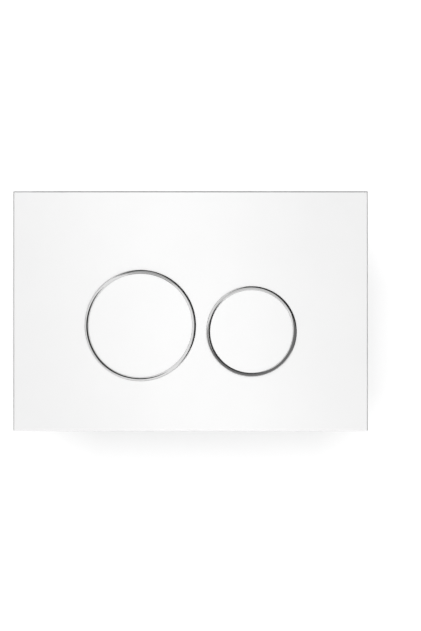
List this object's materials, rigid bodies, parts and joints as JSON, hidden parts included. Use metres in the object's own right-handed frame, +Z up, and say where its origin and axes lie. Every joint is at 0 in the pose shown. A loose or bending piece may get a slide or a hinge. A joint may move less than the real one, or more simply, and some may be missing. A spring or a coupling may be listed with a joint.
{
  "type": "dual-flush button plate",
  "caption": "Rectangular wall plate with a large and a small round push button in chrome rings, with carrier, mounting frame and push rods for a concealed cistern.",
  "frame": {"origin": "centre of the plate's outline, on the wall plane that its rim rests on", "axes": "+X to the right as seen from the room, +Y into the wall, +Z up"},
  "size_m": [0.246, 0.1012, 0.1666],
  "materials": {
    "white_gloss": "polished white moulding",
    "chrome_plate": "bright chrome plating",
    "grey_moulding": "light grey moulding",
    "plunger_moulding": "mid grey moulding",
    "dark_moulding": "dark grey moulding",
    "rod_moulding": "natural white moulding",
    "nut_moulding": "blue-grey moulding",
    "zinc_steel": "zinc-plated steel",
    "spring_steel": "bright spring wire",
    "bumper_rubber": "soft black rubber"
  },
  "bodies": {
    "plate": {"face_plate": "white_gloss", "button_carrier": "grey_moulding", "mounting_frame": "dark_moulding", "left_spacer_bolt": "zinc_steel", "right_spacer_bolt": "zinc_steel", "left_depth_nut": "nut_moulding", "right_depth_nut": "nut_moulding", "large_button_spring": "spring_steel", "small_button_spring": "spring_steel", "large_button_bumpers": "bumper_rubber", "small_button_bumpers": "bumper_rubber"},
    "large_button": {"large_button_cap": "white_gloss", "large_button_ring": "chrome_plate", "large_button_plunger": "plunger_moulding"},
    "small_button": {"small_button_cap": "white_gloss", "small_button_ring": "chrome_plate", "small_button_plunger": "plunger_moulding"},
    "full_flush_rod": {"full_flush_push_rod": "rod_moulding", "full_flush_rod_head": "nut_moulding"},
    "half_flush_rod": {"half_flush_push_rod": "rod_moulding", "half_flush_rod_head": "nut_moulding"}
  },
  "joints": [
    {"name": "large_button_press", "type": "slide", "parent": "plate", "child": "large_button", "axis": [0, 1, 0], "range_m": [0, 0.005], "stiffness_N_per_m": 410, "springref_m": -0.008, "deforming": ["large_button_spring"]},
    {"name": "small_button_press", "type": "slide", "parent": "plate", "child": "small_button", "axis": [0, 1, 0], "range_m": [0, 0.005], "stiffness_N_per_m": 410, "springref_m": -0.008, "deforming": ["small_button_spring"]},
    {"name": "full_flush_rod_push", "type": "slide", "parent": "plate", "child": "full_flush_rod", "axis": [0, 1, 0], "range_m": [0, 0.005]},
    {"name": "half_flush_rod_push", "type": "slide", "parent": "plate", "child": "half_flush_rod", "axis": [0, 1, 0], "range_m": [0, 0.005]}
  ],
  "couplings": [
    {"joint": "full_flush_rod_push", "follows": "large_button_press", "ratio": 1},
    {"joint": "half_flush_rod_push", "follows": "small_button_press", "ratio": 1}
  ]
}
